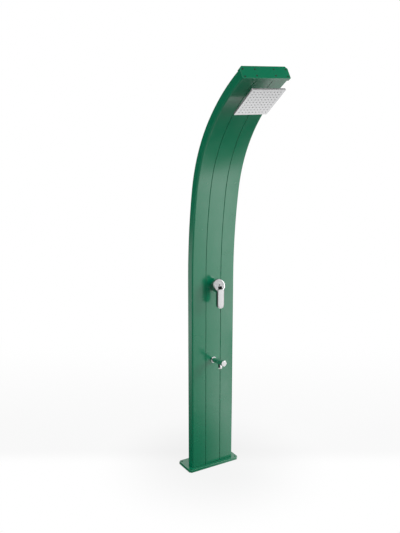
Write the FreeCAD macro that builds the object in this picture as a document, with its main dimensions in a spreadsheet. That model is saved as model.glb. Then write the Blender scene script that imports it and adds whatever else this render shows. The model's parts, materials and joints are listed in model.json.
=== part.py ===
"""Outdoor shower post: a bent aluminium column on a steel base plate, with a lever
mixer, a foot tap and a square shower head on a ball joint.

Millimetres, +Z up. The origin is on the floor, at the middle of the four anchor holes.
The post stands on the base plate a little towards the front (-Y), where the bather
stands; +X is to the right of somebody who looks at the front from outside.
"""
import FreeCAD, Part
import math
import os
import re
import Sketcher

V = FreeCAD.Vector
doc = FreeCAD.newDocument("shower_post")

# ---------------------------------------------------------------- driving dimensions
SIZES = dict(
    # post: front face bent in three tangent arcs, each with its own radius and turn
    post_width=280, post_depth=55, post_corner=8, straight_run=1155,
    bend_one_radius=2912, bend_one_turn=9.97,
    bend_two_radius=812, bend_two_turn=28.66,
    bend_three_radius=1053, bend_three_turn=18.67,
    side_wall=2.5, joint_offset=50, joint_gap=3,
    ledge_reach=8, ledge_thick=2.5, panel_thick=3, rib_thick=2, hook_reach=2.5,
    slide_gap=0.2,
    # screw ports of the side profiles
    port_outer=127, port_inner=56, port_edge=7, port_inset=12, port_pad=4.6,
    port_radius=2.4, screw_gap=0.1, screw_grip=20,
    screw_head_radius=4.4, screw_head_high=3, screw_socket_radius=1.8,
    screw_socket_deep=1.6,
    # base plate
    plate_width=344, plate_depth=144, plate_thick=16, plate_corner=12, plate_bevel=1.5,
    post_forward=20, anchor_span=312, anchor_reach=112, anchor_hole_radius=5.5,
    water_slot_wide=84, water_slot_deep=34, foot_gasket_thick=1.5, gasket_inset=1.5,
    # end cap
    cap_thick=21, cap_overhang=2.5, cap_back_overhang=10.5, cap_back_corner=13, cap_front_corner=2,
    cap_bevel=0.8, cap_gasket_thick=1, cap_wall=6,
    # water inlets in the foot
    shelf_height=60, shelf_thick=3, shelf_depth=36, bracket_leg=3, bracket_foot=5,
    rivet_height=30, rivet_spread=6, rivet_radius=2.1, rivet_head_radius=4,
    rivet_head_high=1.6, supply_spread=24, thread_bore=9.3, thread_length=18,
    inlet_drop=40, inlet_radius=14, male_radius=10.3, male_length=16, hex_nut_radius=15,
    hex_nut_high=6, valve_radius=13, valve_length=40,
    # pipes
    pipe_depth=34, pipe_radius=7.5, pipe_wall=1, pipe_bend=45, socket_depth=11,
    socket_gap=0.1, offset_turn=20, tee_radius=11.5, tee_half=24, branch_radius=14,
    branch_length=27, clip_wide=32, clip_high=12, clip_wall=3.5,
    # mixer
    mixer_drop=45, mixer_body_radius=25, mixer_body_depth=40, washer_thick=2,
    washer_radius=29, mixer_tube_radius=21.4, mixer_tube_out=15, cartridge_radius=17.5,
    cartridge_length=31, cartridge_out=9.5, nut_bore=12.6, boss_radius=9.5,
    boss_length=40, inlet_spread=13, sleeve_radius=24, sleeve_out=18.2, seal_thick=1.5,
    running_gap=0.3, turret_radius=12, turret_thick=2, ear_inner=4.4, ear_outer=8,
    ear_half=4.5, pin_radius=1.9, pin_gap=0.05, pivot_out=18.5, dome_wall=2,
    slot_margin=12, slot_wide=9,
    # mixer lever
    handle_slope=27, lever_lift=20, stem_side=8, stem_tail=5, stem_top=38,
    grip_back=21, grip_front=51.5, grip_radius=38, grip_round=5, recess_gap=0.6,
    lever_front=63.5, lever_thick=19, lever_width=46, lever_drop=111, lever_root=11,
    lever_front_round=8, lever_back_round=5, window_wide=26, window_high=17,
    window_drop=16, window_deep=16, window_round=6.5, grip_wall=3, grip_boss=12, handle_screw_radius=2.5,
    handle_screw_head=3.8, plug_radius=4.2, plug_thick=4,
    # foot tap
    tap_height=664, tap_slope=6.5, tap_radius=14.3, tap_length=106.5, tap_seat=6,
    shank_radius=10.4, shank_length=24, tap_bore=5, tap_front_bore=10.1,
    headwork_length=22, nozzle_out=75, nozzle_radius=12.2, nozzle_drop=31,
    nozzle_bore=9, aerator_tip=38, aerator_rim=11, collar_radius=18, collar_out=8,
    knob_radius=17, knob_length=14.5, knob_round=2, spindle_radius=4,
    knob_screw_radius=1.9,
    # shower head and its ball joint
    head_setback=96, head_side=200, head_thick=8, head_corner=4,
    face_thick=2, back_wall=2, rim_wall=5, head_standoff=63, nozzle_pitch=20,
    nozzle_count=9, jet_radius=2.3, jet_gap=0.2, jet_tip=0.8, mat_thick=1.5,
    mat_inset=1, ball_out=32, ball_radius=10.5, ball_gap=0.1, seat_thick=1.3,
    seat_near=54, seat_far=76, neck_radius=7, stud_bore=3, stud_radius=14.5,
    stud_end=15, stud_socket=9, rosette_radius=22, rosette_thick=4, nut_radius=17,
    nut_lip=7.4, nut_front=9, nut_thread=13.5, head_bore=6,
)
sheet = doc.addObject("Spreadsheet::Sheet", "sizes")
for row, (word, value) in enumerate(SIZES.items(), start=1):
    sheet.set("A%d" % row, word)
    sheet.set("B%d" % row, str(value))
    sheet.setAlias("B%d" % row, word)

# ------------------------------------------------- places worked out from the sizes
# "turn" is the angle from upright, "one", "two" and "three" are the arcs' centres and
# "end" and "head" are stations on the post, all measured from the middle of its foot.
PLACES = dict(
    foot_z="plate_thick + foot_gasket_thick",
    post_y="-post_forward",
    half_depth="post_depth / 2",
    turn_a="bend_one_turn",
    turn_b="bend_one_turn + bend_two_turn",
    turn_c="bend_one_turn + bend_two_turn + bend_three_turn",
    one_y="-half_depth - bend_one_radius",
    two_y="one_y + (bend_one_radius - bend_two_radius) * cos(turn_a)",
    two_z="straight_run + (bend_one_radius - bend_two_radius) * sin(turn_a)",
    three_y="two_y + (bend_two_radius - bend_three_radius) * cos(turn_b)",
    three_z="two_z + (bend_two_radius - bend_three_radius) * sin(turn_b)",
    end_y="three_y + (bend_three_radius + half_depth) * cos(turn_c)",
    end_z="three_z + (bend_three_radius + half_depth) * sin(turn_c)",
    head_turn="turn_c - head_setback / bend_three_radius * 180 / pi",
    head_y="three_y + bend_three_radius * cos(head_turn)",
    head_z="three_z + bend_three_radius * sin(head_turn)",
    ball_y="head_y - ball_out * cos(head_turn)",
    ball_z="head_z - ball_out * sin(head_turn)",
    elbow_y="head_y + pipe_depth * cos(head_turn)",
    elbow_z="head_z + pipe_depth * sin(head_turn)",
    joint_edge="joint_offset + joint_gap / 2",
    panel_edge="joint_offset - joint_gap / 2",
    ledge_tip="joint_edge - ledge_reach",
    ledge_face="panel_thick + slide_gap",
    ledge_back="ledge_face + ledge_thick",
    screw_radius="port_radius - screw_gap",
    pipe_y="pipe_depth - half_depth",
    pipe_bore="pipe_radius - pipe_wall",
    socket_radius="pipe_radius + socket_gap",
    mixer_height="straight_run - mixer_drop",
    mixer_shoulder="panel_thick + washer_thick",
    cartridge_floor="cartridge_length - cartridge_out",
    mouth_radius="cartridge_radius + 2",
    tee_z="tap_height - pipe_depth * tan(tap_slope)",
    valve_z="shelf_height + male_length + slide_gap",
    valve_top="valve_z + valve_length",
    dome_bore="sleeve_radius - dome_wall",
    recess_radius="sleeve_radius + recess_gap",
    head_back_out="head_standoff - ball_out - head_thick",
    head_front_out="head_standoff - ball_out",
    seat_bore="ball_radius + ball_gap",
    seat_radius="ball_radius + ball_gap + seat_thick",
    cavity_radius="ball_radius + 2 * ball_gap + seat_thick",
)
WORDS = set(SIZES) | set(PLACES)


def bound(text):
    """Write the sheet's name before each size or place in an expression."""
    def prefix(match):
        word = match.group(0)
        if word in SIZES:
            return "sizes." + word
        return "places." + word if word in PLACES else word
    return re.sub(r"[a-z_]+", prefix, str(text))


places = doc.addObject("Spreadsheet::Sheet", "places")
for row, (word, text) in enumerate(PLACES.items(), start=1):
    formula = re.sub(r"places\.", "", bound(text))
    places.set("A%d" % row, word)
    places.set("B%d" % row, "=" + formula)
    places.setAlias("B%d" % row, word)
doc.recompute()


def number(text):
    """The value of an expression with today's sizes."""
    value = sheet.evalExpression(bound(text))
    return float(getattr(value, "Value", value))


# --------------------------------------------------------------------------- helpers
NODES = []


def new_body(name, x="0", y="0", z="0", tilt="0"):
    """A part that becomes one STEP file, placed at x, y, z and tilted about X."""
    body = doc.addObject("PartDesign::Body", name)
    body.Label = name
    body.setExpression("Placement", bound(
        "placement(vector(%s; %s; %s); rotation(vector(1; 0; 0); %s))" % (x, y, z, tilt)))
    NODES.append(body)
    return body


def foot_body(name, x="0", y="0", z="0"):
    """A part placed from the middle of the post's foot."""
    return new_body(name, x, "post_y + " + y, "foot_z + " + z)


def wall_body(name, height, tilt="90", out="0"):
    """A part whose own Z axis points out of the upright front face at a height."""
    return new_body(name, "0", "post_y - half_depth - (%s)" % out, "foot_z + " + height, tilt)


def sketch(body, plane="XY", lift="0", spin="0", offset=None):
    """A sketch on one of the body's own origin planes, lifted along its normal."""
    drawing = body.newObject("Sketcher::SketchObject", body.Name + "_sketch")
    roles = [f for f in body.Origin.OriginFeatures if f.Role == plane + "_Plane"]
    drawing.AttachmentSupport = (roles[0], "")
    drawing.MapMode = "FlatFace"
    offset = offset or "placement(vector(0; 0; %s); rotation(vector(0; 0; 1); %s))" % (lift, spin)
    drawing.setExpression("AttachmentOffset", bound(offset))
    return drawing


def across(slope, out):
    """Offset of an XY sketch onto the plane square to an axis that rises by slope."""
    spot = "vector(0; (%s) * sin(%s); (%s) * cos(%s))" % (out, slope, out, slope)
    return "placement(%s; rotation(vector(1; 0; 0); -(%s)))" % (spot, slope)


def fix(drawing, kind, where, text):
    """A named dimension of a sketch, tied to the sheet."""
    value = number(text)
    if kind == "Angle":
        value = math.radians(value)
    index = drawing.addConstraint(Sketcher.Constraint(kind, *where, value))
    unit = " * 1 deg" if kind == "Angle" else ""
    drawing.setExpression("Constraints[%d]" % index, "(%s)%s" % (bound(text), unit))


def pin_point(drawing, item, end, x, y):
    fix(drawing, "DistanceX", (-1, 1, item, end), x)
    fix(drawing, "DistanceY", (-1, 1, item, end), y)


def join(drawing, item, end, other, start):
    drawing.addConstraint(Sketcher.Constraint("Coincident", item, end, other, start))


def arc_between(start, end, radius, side):
    """The arc under a half circle from start to end, its centre to the left (side 1)
    or right (side -1) of the way from one to the other."""
    chord = end - start
    rise = math.sqrt(max(radius ** 2 - chord.Length ** 2 / 4, 0))
    centre = (start + end) / 2 + V(-chord.y, chord.x, 0).normalize() * rise * side
    angles = [math.atan2(p.y - centre.y, p.x - centre.x) for p in (start, end)]
    if side < 0:
        angles.reverse()
    return Part.ArcOfCircle(Part.Circle(centre, V(0, 0, 1), radius), *angles)


def outline(drawing, corners):
    """A closed outline. A corner is (x, y), (x, y, round radius), or for the end of an
    arc (x, y, arc radius, side)."""
    count = len(corners)
    points = [V(number(c[0]), number(c[1]), 0) for c in corners]
    ways = [(points[(i + 1) % count] - points[i]).normalize() for i in range(count)]

    def trimmed(index, leaving):
        """Where a side ends or starts at a corner, as expressions."""
        corner = corners[index]
        if len(corner) != 3:
            return corner[0], corner[1]
        way = ways[index] if leaving else ways[index - 1] * -1
        return tuple("%s + (%s) * %d" % (corner[k], corner[2], round(way[k])) for k in (0, 1))

    first = None
    last = None
    for i in range(count):
        after = (i + 1) % count
        start = trimmed(i, True)
        end = trimmed(after, False)
        a, b = (V(number(p[0]), number(p[1]), 0) for p in (start, end))
        bow = corners[after] if len(corners[after]) == 4 else None
        if bow:
            item = drawing.addGeometry(arc_between(a, b, number(bow[2]), bow[3]))
            ends = (1, 2) if bow[3] > 0 else (2, 1)
            fix(drawing, "Radius", (item,), bow[2])
        else:
            item = drawing.addGeometry(Part.LineSegment(a, b))
            ends = (1, 2)
            pin_point(drawing, item, 1, *start)
            pin_point(drawing, item, 2, *end)
        if last:
            connect(drawing, last, (item, ends[0], start, corners[i], a), ways, i)
        first = first or (item, ends[0], start, corners[i], a)
        last = (item, ends[1], b)
    connect(drawing, last, first, ways, 0)


def connect(drawing, last, following, ways, index):
    """Join two sides at a corner, with a rounding arc where the corner has a radius."""
    item, end, spot = last
    other, start, _, corner, point = following
    straight = all(isinstance(drawing.Geometry[k], Part.LineSegment) for k in (item, other))
    if len(corner) != 3:
        if not straight:
            join(drawing, item, end, other, start)
        return
    side = 1 if ways[index - 1].cross(ways[index]).z > 0 else -1
    arc = drawing.addGeometry(arc_between(spot, point, number(corner[2]), side))
    ends = (1, 2) if side > 0 else (2, 1)
    join(drawing, item, end, arc, ends[0])
    join(drawing, other, start, arc, ends[1])
    fix(drawing, "Radius", (arc,), corner[2])


def block(drawing, x0, y0, x1, y1, round_radius=None):
    """A rectangle from one corner to the other."""
    spots = [(x0, y0), (x1, y0), (x1, y1), (x0, y1)]
    outline(drawing, [s + (round_radius,) if round_radius else s for s in spots])


def circle(drawing, x, y, radius):
    centre = V(number(x), number(y), 0)
    item = drawing.addGeometry(Part.Circle(centre, V(0, 0, 1), number(radius)))
    pin_point(drawing, item, 3, x, y)
    fix(drawing, "Radius", (item,), radius)


def feature(body, kind, drawing, **values):
    """A feature made from a sketch, its numbers tied to the sheet."""
    item = body.newObject("PartDesign::" + kind, body.Name + "_" + kind.lower())
    item.Profile = drawing
    for word, value in values.items():
        if isinstance(value, str) and word in ("Length", "Angle"):
            item.setExpression(word, bound(value))
        else:
            setattr(item, word, value)
    return item


def pad(body, drawing, length, **values):
    return feature(body, "Pad", drawing, Length=length, **values)


def pocket(body, drawing, length, **values):
    """A cut against the sketch's normal, or along it with Reversed. It must cut."""
    doc.recompute()
    before = body.Shape.Volume
    item = feature(body, "Pocket", drawing, Length=length, **values)
    doc.recompute()
    if body.Shape.Volume > before - 1e-3:
        raise RuntimeError("a pocket of %s cuts nothing" % body.Name)
    return item


def revolve(body, corners, kind="Revolution", plane="XZ", spin="0"):
    """A turned form: an outline of (radius, height) corners about the sketch's Y axis."""
    drawing = sketch(body, plane, "0", spin)
    outline(drawing, corners)
    item = feature(body, kind, drawing, Angle="360")
    item.ReferenceAxis = (drawing, ["V_Axis"])
    return item


def ring(body, inner, outer, low, high, **values):
    return revolve(body, [(inner, low), (outer, low), (outer, high), (inner, high)], **values)


def rod(body, radius, low, high, **values):
    return ring(body, "0", radius, low, high, **values)


def ports(drawing, radius):
    """A circle at each screw port of the two side profiles."""
    for x in ("-port_outer", "-port_inner", "port_inner", "port_outer"):
        inset = "port_inset" if "inner" in x else "port_edge"
        circle(drawing, x, "half_depth - port_edge", radius)
        circle(drawing, x, "%s - half_depth" % inset, radius)


def post_path(body, depth, start, last_turn="turn_c"):
    """The post's curve at a depth behind its front face: a straight run and three
    tangent arcs, from a height above the foot to a turn of the last arc."""
    drawing = sketch(body, "YZ")
    turns = ["0", "turn_a", "turn_b", last_turn]
    centres = [("one_y", "straight_run"), ("two_y", "two_z"), ("three_y", "three_z")]
    radii = ["bend_one_radius", "bend_two_radius", "bend_three_radius"]
    foot = V(number("(%s) - half_depth" % depth), number(start), 0)
    drawing.addGeometry(Part.LineSegment(foot, V(foot.x, number("straight_run"), 0)))
    pin_point(drawing, 0, 1, "(%s) - half_depth" % depth, start)
    pin_point(drawing, 0, 2, "(%s) - half_depth" % depth, "straight_run")
    for k in range(3):
        radius = "%s + (%s)" % (radii[k], depth)
        centre = V(number(centres[k][0]), number(centres[k][1]), 0)
        span = [math.radians(number(t)) for t in (turns[k], turns[k + 1])]
        arc = Part.ArcOfCircle(Part.Circle(centre, V(0, 0, 1), number(radius)), *span)
        drawing.addGeometry(arc)
        drawing.addConstraint(Sketcher.Constraint("Tangent", k, 2, k + 1, 1))
        fix(drawing, "Radius", (k + 1,), radius)
        fix(drawing, "Angle", (k + 1,), "(%s) - (%s)" % (turns[k + 1], turns[k]))
    return drawing


def sweep(body, profile, path):
    item = feature(body, "AdditivePipe", profile)
    item.Spine = (path, [""])
    return item


# ------------------------------------------------------------------------- the post
def side_profile(name, sign):
    """Hollow side extrusion: ledges for the two panels and four screw ports."""
    body = foot_body(name)
    path = post_path(body, "half_depth", "0")
    section = sketch(body)
    steps = [("joint_edge", "-half_depth"),
             ("post_width / 2", "-half_depth", "post_corner"),
             ("post_width / 2", "half_depth", "post_corner"),
             ("joint_edge", "half_depth")]
    for x, y in (("joint_edge", "ledge_face"), ("ledge_tip", "ledge_face"),
                 ("ledge_tip", "ledge_back"), ("joint_edge", "ledge_back")):
        steps.append((x, "half_depth - " + y))
    for x, y in (("joint_edge", "ledge_back"), ("ledge_tip", "ledge_back"),
                 ("ledge_tip", "ledge_face"), ("joint_edge", "ledge_face")):
        steps.append((x, y + " - half_depth"))
    outline(section, [("%s * (%s)" % (sign, s[0]),) + s[1:] for s in steps])
    inner = "port_inner + port_pad"
    outer = "port_outer - port_pad"
    near = "joint_edge + side_wall"
    far = "post_width / 2 - side_wall"
    front = "side_wall - half_depth"
    back = "half_depth - side_wall"
    back_pad = "half_depth - port_edge - port_pad"
    chamber = [(inner, front), (outer, front), (outer, "port_edge + port_pad - half_depth"),
               (far, "port_edge + port_pad - half_depth"), (far, back_pad),
               (outer, back_pad), (outer, back), (inner, back), (inner, back_pad),
               (near, back_pad), (near, "port_inset + port_pad - half_depth"),
               (inner, "port_inset + port_pad - half_depth")]
    outline(section, [("%s * (%s)" % (sign, x), y) for x, y in chamber])
    for x, inset in (("port_inner", "port_inset"), ("port_outer", "port_edge")):
        circle(section, "%s * %s" % (sign, x), "half_depth - port_edge", "port_radius")
        circle(section, "%s * %s" % (sign, x), inset + " - half_depth", "port_radius")
    sweep(body, section, path)
    rivets = sketch(body, "YZ")
    for way in ("-", ""):
        circle(rivets, way + "rivet_spread", "rivet_height", "rivet_radius + screw_gap")
    pocket(body, rivets, "joint_edge + side_wall + 1", Reversed=sign > 0)


def panel(name, way):
    """Centre panel between the side profiles, with two ribs that hook the ledges.
    way is "-" for the front panel and "" for the rear one."""
    body = foot_body(name)
    path = post_path(body, "half_depth", "0")
    section = sketch(body)
    rib_out = "ledge_tip - slide_gap"
    rib_in = "ledge_tip - slide_gap - rib_thick"
    hook = "ledge_tip + hook_reach"
    skin = "half_depth - panel_thick"
    reach = "half_depth - ledge_back - slide_gap"
    half = [("panel_edge", "half_depth"), ("panel_edge", skin), (rib_out, skin),
            (rib_out, reach), (hook, reach), (hook, reach + " - rib_thick"),
            (rib_in, reach + " - rib_thick"), (rib_in, skin)]
    right = [(x, "%s(%s)" % (way, y)) for x, y in half]
    left = [("-(%s)" % x, y) for x, y in reversed(right)]
    outline(section, right + left)
    sweep(body, section, path)
    return body


def front_panel():
    """The front panel has a hole each for the foot tap, the mixer and the head."""
    body = panel("front_panel", "-")
    holes = sketch(body, "XZ", "half_depth")
    circle(holes, "0", "mixer_height", "mixer_tube_radius + 4 * slide_gap")
    circle(holes, "0", "tap_height", "shank_radius + 1.5")
    pocket(body, holes, "panel_thick + 1")
    spot = "vector(0; head_z - sin(head_turn); cos(head_turn) - head_y)"
    port = sketch(body, "XZ", offset="placement(%s; rotation(vector(1; 0; 0); head_turn))" % spot)
    circle(port, "0", "0", "male_radius + slide_gap")
    pocket(body, port, "panel_thick + 3")


# ---------------------------------------------------------------- foot and end cap
def bevel(body, base, size):
    """A chamfer round the base feature's flat top."""
    doc.recompute()
    faces = base.Shape.Faces
    heights = [face.CenterOfMass.z for face in faces]
    item = body.newObject("PartDesign::Chamfer", body.Name + "_bevel")
    item.Base = (base, ["Face%d" % (heights.index(max(heights)) + 1)])
    item.setExpression("Size", bound(size))


def plate_outline(drawing, wide, front, back, front_cut, back_cut):
    """A rectangle with its four corners cut off."""
    right = [("%s - %s" % (wide, front_cut), front), (wide, "%s + %s" % (front, front_cut)),
             (wide, "%s - %s" % (back, back_cut)), ("%s - %s" % (wide, back_cut), back)]
    left = [("-(%s)" % x, y) for x, y in reversed(right)]
    outline(drawing, right + left)


def base_plate():
    """Steel plate, drilled for four anchors, the post's screws and the water pipes."""
    body = new_body("base_plate")
    drawing = sketch(body)
    plate_outline(drawing, "plate_width / 2", "-plate_depth / 2", "plate_depth / 2",
                  "plate_corner", "plate_corner")
    plate = pad(body, drawing, "plate_thick")
    bevel(body, plate, "plate_bevel")
    anchors = sketch(body)
    for x in ("-anchor_span / 2", "anchor_span / 2"):
        for y in ("-anchor_reach / 2", "anchor_reach / 2"):
            circle(anchors, x, y, "anchor_hole_radius")
    pocket(body, anchors, "plate_thick", Reversed=True)
    foot = "placement(vector(0; post_y; 0); rotation(vector(0; 0; 1); 0))"
    slot = sketch(body, offset=foot)
    block(slot, "-water_slot_wide / 2", "-water_slot_deep / 2", "water_slot_wide / 2",
          "water_slot_deep / 2", "water_slot_deep / 4")
    pocket(body, slot, "plate_thick", Reversed=True)
    for radius, deep in (("port_radius", "plate_thick"),
                         ("screw_head_radius + slide_gap", "screw_head_high + slide_gap")):
        drawing = sketch(body, offset=foot)
        ports(drawing, radius)
        pocket(body, drawing, deep, Reversed=True)


def post_gasket(name, thick, low, **spot):
    """Flat rubber gasket under or over the post's end, a little inside its outline."""
    body = new_body(name, **spot)
    drawing = sketch(body, lift=low)
    block(drawing, "gasket_inset - post_width / 2", "gasket_inset - half_depth",
          "post_width / 2 - gasket_inset", "half_depth - gasket_inset", "post_corner")
    block(drawing, "-water_slot_wide / 2", "-water_slot_deep / 2", "water_slot_wide / 2",
          "water_slot_deep / 2", "water_slot_deep / 4")
    ports(drawing, "port_radius")
    pad(body, drawing, thick)


def screws(name, low, high, head, **spot):
    """Eight screws in the ports, from low to high, their heads starting at head."""
    body = new_body(name, **spot)
    shanks = sketch(body, lift=low)
    ports(shanks, "screw_radius")
    pad(body, shanks, "%s - (%s)" % (high, low))
    heads = sketch(body, lift=head)
    ports(heads, "screw_head_radius")
    pad(body, heads, "screw_head_high")
    outside = head == high
    sockets = sketch(body, lift="%s + screw_head_high" % head if outside else head)
    ports(sockets, "screw_socket_radius")
    pocket(body, sockets, "screw_socket_deep", Reversed=not outside)


def end_cap():
    """Cap over the post's upper end, hollow inside, with counterbored screw holes."""
    body = new_body("end_cap", **END)
    drawing = sketch(body, lift="cap_gasket_thick")
    plate_outline(drawing, "post_width / 2 + cap_overhang", "-half_depth - cap_overhang",
                  "half_depth + cap_back_overhang", "cap_front_corner", "cap_back_corner")
    cap = pad(body, drawing, "cap_thick")
    bevel(body, cap, "cap_bevel")
    hollow = sketch(body, lift="cap_gasket_thick")
    block(hollow, "-ledge_tip", "cap_wall - half_depth", "ledge_tip",
          "half_depth - cap_wall")
    pocket(body, hollow, "cap_thick - cap_wall", Reversed=True)
    for radius, deep in (("port_radius", "cap_thick"),
                         ("screw_head_radius + slide_gap", "screw_head_high + slide_gap")):
        top = sketch(body, lift="cap_gasket_thick + cap_thick")
        ports(top, radius)
        pocket(body, top, deep)


# ------------------------------------------------------------- water inlet and pipes
def inlet_bracket():
    """Shelf on two legs, riveted to the side profiles, that holds the two inlets."""
    body = foot_body("inlet_bracket")
    drawing = sketch(body, "XZ", "-shelf_depth / 2")
    inside = "joint_edge - slide_gap - bracket_leg"
    side = "joint_edge - slide_gap"
    top = "shelf_height + shelf_thick"
    right = [(inside, "shelf_height"), (inside, "bracket_foot"), (side, "bracket_foot"),
             (side, top)]
    outline(drawing, right + [("-(%s)" % x, y) for x, y in reversed(right)])
    pad(body, drawing, "shelf_depth")
    holes = sketch(body, "XY", top)
    for sign in ("-", ""):
        circle(holes, sign + "supply_spread", "pipe_y", "male_radius + slide_gap")
    pocket(body, holes, "shelf_thick")
    rivets = sketch(body, "YZ")
    for way in ("-", ""):
        circle(rivets, way + "rivet_spread", "rivet_height", "rivet_radius + screw_gap")
    pocket(body, rivets, "post_width", SideType="Symmetric")


def bracket_rivets():
    """Four blind rivets through the bracket's legs and the side profiles' walls."""
    body = foot_body("bracket_rivets")
    inside = "joint_edge - slide_gap - bracket_leg"
    for sign in ("-", ""):
        for radius, near, far in (
                ("rivet_radius", inside, "joint_edge + side_wall + rivet_head_high"),
                ("rivet_head_radius", inside + " - rivet_head_high", inside),
                ("rivet_head_radius", "joint_edge + side_wall",
                 "joint_edge + side_wall + rivet_head_high")):
            low = "-(%s)" % far if sign else near
            drawing = sketch(body, "YZ", low)
            for way in ("-", ""):
                circle(drawing, way + "rivet_spread", "rivet_height", radius)
            pad(body, drawing, "(%s) - (%s)" % (far, near))


def supply(name, sign):
    """Inlet coupling: a female thread below and a male end through the shelf."""
    body = foot_body(name, sign + "supply_spread", "pipe_y", "shelf_height")
    revolve(body, [("thread_bore", "-inlet_drop"), ("inlet_radius", "-inlet_drop"),
                   ("inlet_radius", "0"), ("male_radius", "0"),
                   ("male_radius", "male_length"), ("head_bore", "male_length"),
                   ("head_bore", "thread_length - inlet_drop"),
                   ("thread_bore", "thread_length - inlet_drop")])


def pair_of_rings(name, low, high, inner, outer):
    """One ring round each inlet's axis."""
    body = foot_body(name, "0", "pipe_y", "shelf_height")
    drawing = sketch(body, "XY", low)
    for sign in ("-", ""):
        circle(drawing, sign + "supply_spread", "0", outer)
        circle(drawing, sign + "supply_spread", "0", inner)
    pad(body, drawing, "(%s) - (%s)" % (high, low))
    return body


def check_valves():
    """Two non-return valves on the inlets, with a socket for the pipe on top."""
    low = "male_length + slide_gap"
    body = pair_of_rings("check_valves", low, low + " + valve_length", "head_bore",
                         "valve_radius")
    sockets = sketch(body, "XY", low + " + valve_length")
    for sign in ("-", ""):
        circle(sockets, sign + "supply_spread", "0", "socket_radius")
    pocket(body, sockets, "socket_depth")


def offset_pipe(name, start_x, end_x, low, high, bend_at):
    """A pipe that steps sideways in two equal bends on its way up."""
    body = foot_body(name, "0", "pipe_y")
    path = sketch(body, "XZ")
    way = 1 if number(end_x) > number(start_x) else -1
    turn = math.radians(number("offset_turn"))
    radius = number("pipe_bend")
    step = abs(number("(%s) - (%s)" % (end_x, start_x)))
    slant = (step - 2 * radius * (1 - math.cos(turn))) / math.sin(turn)
    spots = [V(number(start_x), number(low), 0), V(number(start_x), number(bend_at), 0)]
    spots.append(spots[1] + V(way * radius * (1 - math.cos(turn)), radius * math.sin(turn), 0))
    spots.append(spots[2] + V(way * slant * math.sin(turn), slant * math.cos(turn), 0))
    spots.append(spots[3] + V(way * radius * (1 - math.cos(turn)), radius * math.sin(turn), 0))
    spots.append(V(number(end_x), number(high), 0))
    for k in (0, 2, 4):
        path.addGeometry(Part.LineSegment(spots[k], spots[k + 1]))
        if k < 4:
            side = -way if k == 0 else way
            path.addGeometry(arc_between(spots[k + 1], spots[k + 2], radius, side))
    arc_ends = {1: (1, 2) if way < 0 else (2, 1), 3: (1, 2) if way > 0 else (2, 1)}
    for item in (1, 3):
        path.addConstraint(Sketcher.Constraint("Tangent", item - 1, 2, item, arc_ends[item][0]))
        path.addConstraint(Sketcher.Constraint("Tangent", item, arc_ends[item][1], item + 1, 1))
        fix(path, "Radius", (item,), "pipe_bend")
        if item == 1:
            fix(path, "Angle", (item,), "offset_turn")
    path.addConstraint(Sketcher.Constraint("Vertical", 0))
    path.addConstraint(Sketcher.Constraint("Vertical", 4))
    pin_point(path, 0, 1, start_x, low)
    fix(path, "DistanceY", (-1, 1, 0, 2), bend_at)
    pin_point(path, 4, 2, end_x, high)
    section = sketch(body, "XY", low)
    circle(section, start_x, "0", "pipe_radius")
    circle(section, start_x, "0", "pipe_bore")
    sweep(body, section, path)


def supply_tee():
    """Tee in the cold pipe; its branch meets the foot tap's shank."""
    body = foot_body("supply_tee", "0", "pipe_y", "tee_z")
    rod(body, "tee_radius", "-tee_half", "tee_half")
    rod(body, "branch_radius", "0", "branch_length", plane="YZ", spin="90 - tap_slope")
    rod(body, "head_bore", "-tee_half", "tee_half", kind="Groove")
    for low, high in (("-tee_half", "socket_depth - tee_half"),
                      ("tee_half - socket_depth", "tee_half")):
        rod(body, "socket_radius", low, high, kind="Groove")
    rod(body, "tap_bore", "0", "branch_length", kind="Groove", plane="YZ",
        spin="90 - tap_slope")
    inner = "pipe_depth / cos(tap_slope) - shank_length - slide_gap"
    rod(body, "shank_radius + socket_gap", inner, "branch_length", kind="Groove",
        plane="YZ", spin="90 - tap_slope")


def riser_pipe():
    """Pipe from the mixer's outlet that follows the post's bend to the head."""
    body = foot_body("riser_pipe")
    start = "mixer_height + boss_length - socket_depth + slide_gap"
    stop = "head_turn - (tee_half - socket_depth + slide_gap)"
    stop += " / (bend_three_radius + pipe_depth) * 180 / pi"
    path = post_path(body, "pipe_depth", start, stop)
    section = sketch(body, "XY", start)
    circle(section, "0", "pipe_y", "pipe_radius")
    circle(section, "0", "pipe_y", "pipe_bore")
    sweep(body, section, path)


def riser_clip(name, turn, centre_y, centre_z, radius):
    """Clip between the riser and the rear panel, at a turn of one of the arcs."""
    body = foot_body(name, "0", "%s + (%s + pipe_depth) * cos(%s)" % (centre_y, radius, turn),
                     "%s + (%s + pipe_depth) * sin(%s)" % (centre_z, radius, turn))
    body.setExpression("Placement", bound(
        "placement(vector(0; post_y + %s + (%s + pipe_depth) * cos(%s);"
        " foot_z + %s + (%s + pipe_depth) * sin(%s)); rotation(vector(1; 0; 0); %s))"
        % (centre_y, radius, turn, centre_z, radius, turn, turn)))
    drawing = sketch(body, "XY", "-clip_high / 2")
    block(drawing, "-clip_wide / 2", "-pipe_radius - clip_wall", "clip_wide / 2",
          "post_depth - panel_thick - pipe_depth - slide_gap")
    circle(drawing, "0", "0", "pipe_radius + socket_gap")
    pad(body, drawing, "clip_high")


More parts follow.
